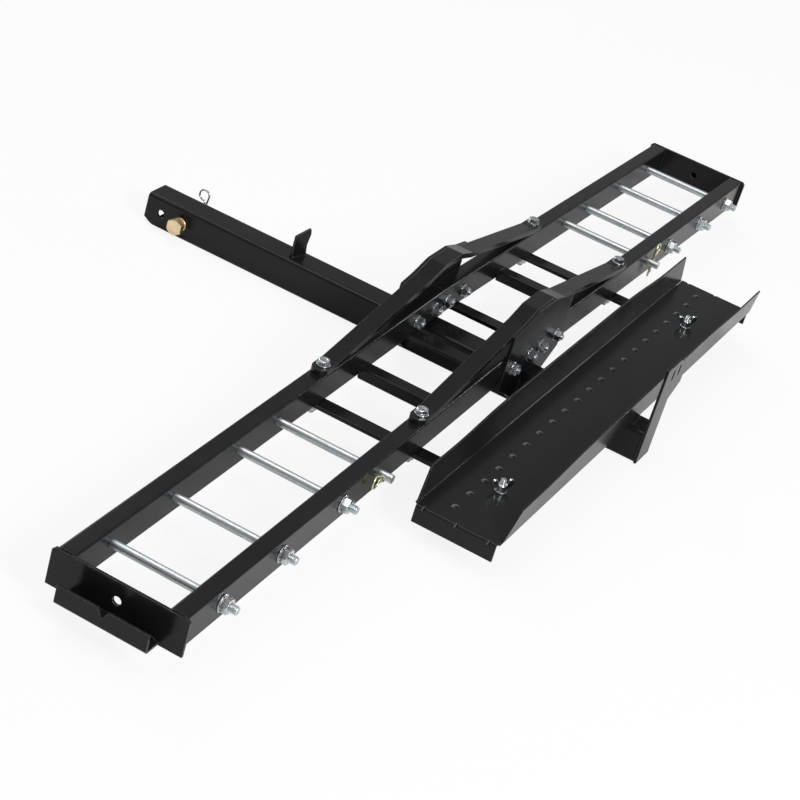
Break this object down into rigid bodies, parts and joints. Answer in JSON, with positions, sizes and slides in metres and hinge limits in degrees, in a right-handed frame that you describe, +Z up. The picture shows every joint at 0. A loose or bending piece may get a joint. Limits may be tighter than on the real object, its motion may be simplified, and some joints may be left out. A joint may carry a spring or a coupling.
{
  "type": "hitch motorcycle carrier",
  "caption": "Carrier for one motorcycle on a square drawbar for a vehicle's hitch receiver: a crowned rail track with ladder rods, wing bars for straps, and a loading ramp stowed beside it.",
  "frame": {"origin": "middle of the drawbar on the hitch pin's axis", "axes": "+X along the wheel track, +Y forward to the vehicle along the drawbar, +Z up; the ramp is on the -Y side"},
  "size_m": [1.9688, 0.856, 0.158],
  "materials": {
    "black_powder_coat": "satin black powder coat with a fine texture",
    "bright_zinc": "bright zinc plate",
    "yellow_zinc": "pale yellow zinc plate"
  },
  "bodies": {
    "carrier": {"drawbar": "black_powder_coat", "drawbar_tab": "black_powder_coat", "rear_bracket": "black_powder_coat", "rail_near_left": "black_powder_coat", "rail_near_right": "black_powder_coat", "rail_far_left": "black_powder_coat", "rail_far_right": "black_powder_coat", "end_plate_left": "black_powder_coat", "end_plate_right": "black_powder_coat", "hook_channel_left": "black_powder_coat", "hook_channel_right": "black_powder_coat", "rod_left_outer": "bright_zinc", "rod_left_middle": "bright_zinc", "rod_left_inner": "bright_zinc", "rod_right_outer": "bright_zinc", "rod_right_middle": "bright_zinc", "rod_right_inner": "bright_zinc", "rod_nuts": "bright_zinc", "rod_washers": "bright_zinc", "side_plate_near": "black_powder_coat", "side_plate_far": "black_powder_coat", "wing_near": "black_powder_coat", "wing_far": "black_powder_coat", "base_bar_left": "black_powder_coat", "base_bar_right": "black_powder_coat", "cross_tube_left": "black_powder_coat", "cross_tube_right": "black_powder_coat", "support_bar_left": "black_powder_coat", "support_bar_right": "black_powder_coat", "splice_bolts": "bright_zinc", "splice_washers": "bright_zinc", "splice_nuts": "bright_zinc", "wing_bolts": "bright_zinc", "wing_washers": "bright_zinc", "wing_bolt_nuts": "bright_zinc", "ramp_studs": "bright_zinc"},
    "hitch_pin": {"hitch_pin": "yellow_zinc", "hitch_pin_collar": "yellow_zinc", "hitch_pin_clip": "bright_zinc"},
    "stop_pin_left": {"stop_pin_left": "bright_zinc", "stop_clip_left": "yellow_zinc"},
    "stop_pin_right": {"stop_pin_right": "bright_zinc", "stop_clip_right": "yellow_zinc"},
    "ramp": {"ramp": "black_powder_coat", "ramp_washers": "bright_zinc"},
    "wing_nut_left": {"wing_nut_left": "bright_zinc"},
    "wing_nut_right": {"wing_nut_right": "bright_zinc"}
  },
  "joints": [
    {"name": "hitch_pin_turn", "type": "hinge", "parent": "carrier", "child": "hitch_pin", "pos_m": [0, 0, 0], "axis": [1, 0, 0], "continuous": true},
    {"name": "stop_pin_left_turn", "type": "hinge", "parent": "carrier", "child": "stop_pin_left", "pos_m": [-0.48129, -0.494, 0.04629], "axis": [0, 1, 0], "continuous": true},
    {"name": "stop_pin_right_turn", "type": "hinge", "parent": "carrier", "child": "stop_pin_right", "pos_m": [0.48129, -0.494, 0.04629], "axis": [0, 1, 0], "continuous": true},
    {"name": "ramp_lift", "type": "slide", "parent": "carrier", "child": "ramp", "axis": [0, 0, 1], "range_m": [0, 0.2]},
    {"name": "wing_nut_left_turn", "type": "hinge", "parent": "ramp", "child": "wing_nut_left", "pos_m": [-0.354, -0.707, 0.034], "axis": [0, 0, 1], "continuous": true},
    {"name": "wing_nut_right_turn", "type": "hinge", "parent": "ramp", "child": "wing_nut_right", "pos_m": [0.354, -0.707, 0.034], "axis": [0, 0, 1], "continuous": true}
  ]
}
